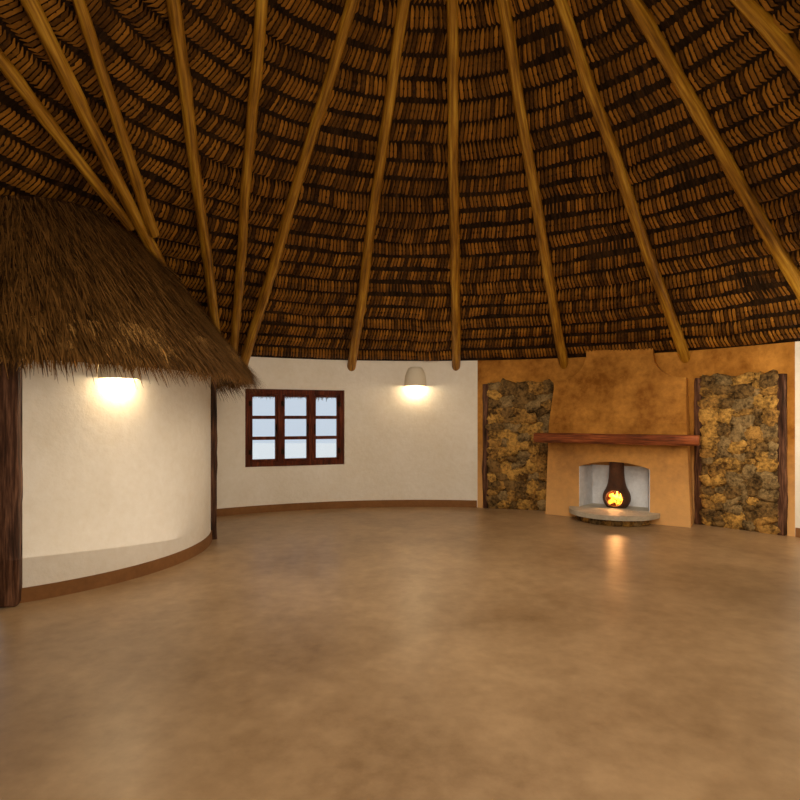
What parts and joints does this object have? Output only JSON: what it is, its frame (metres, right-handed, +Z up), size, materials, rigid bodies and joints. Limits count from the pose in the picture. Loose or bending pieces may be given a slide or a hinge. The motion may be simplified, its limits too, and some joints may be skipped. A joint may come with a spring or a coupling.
{
  "type": "rondavel hut",
  "caption": "Round plastered hut with a thatched cone roof on radial poles, a hearth wall with a clay stove, and a thatched inner porch.",
  "frame": {"origin": "on the ground, on the hut's axis", "axes": "+Z up; +Y from the seat side of the room towards the hearth and window side"},
  "size_m": [12.1878, 12.1878, 6.9966],
  "materials": {
    "floor_cement": "polished tinted cement",
    "white_plaster": "limewashed hand plaster",
    "ochre_plaster": "ochre lime plaster",
    "hearth_cement": "smooth cement",
    "field_stone": "rough field stone in mortar",
    "fired_clay": "fired clay",
    "red_timber": "stained timber",
    "dark_timber": "rough dark timber",
    "pole_timber": "peeled poles",
    "dry_thatch": "dry grass thatch",
    "clear_glass": "clear"
  },
  "bodies": {
    "root": {"floor_slab": "floor_cement", "wall_hearth": "ochre_plaster", "wall_lamp_bay": "white_plaster", "wall_window": "white_plaster", "wall_porch_right": "white_plaster", "entrance_lintel": "white_plaster", "wall_porch_left": "white_plaster", "wall_west": "white_plaster", "wall_rear_window": "white_plaster", "wall_rear_right": "white_plaster", "wall_east_window": "white_plaster", "wall_east": "white_plaster", "chimney": "ochre_plaster", "chimney_stack": "ochre_plaster", "chimney_cap": "ochre_plaster", "hearth_slab": "hearth_cement", "hearth_base": "field_stone", "stove_pot": "fired_clay", "mantel": "red_timber", "stone_panel_left": "field_stone", "stone_panel_right": "field_stone", "hearth_posts": "dark_timber", "window_frame": "red_timber", "east_window_frame": "red_timber", "rear_window_frame": "red_timber", "window_glass": "clear_glass", "entrance_frame": "dark_timber", "inner_door_posts": "dark_timber", "porch_wall_front": "white_plaster", "porch_wall_side": "white_plaster", "porch_wall_left": "white_plaster", "porch_hood": "dry_thatch", "wall_lamps": "white_plaster", "roof_poles": "pole_timber", "corner_poles": "pole_timber", "roof_hub": "pole_timber", "thatch_cap": "dry_thatch", "thatch_hearth": "dry_thatch", "thatch_window": "dry_thatch", "thatch_porch": "dry_thatch", "thatch_west": "dry_thatch", "thatch_southwest": "dry_thatch", "thatch_south": "dry_thatch", "thatch_southeast": "dry_thatch", "thatch_east": "dry_thatch"}
  },
  "joints": []
}
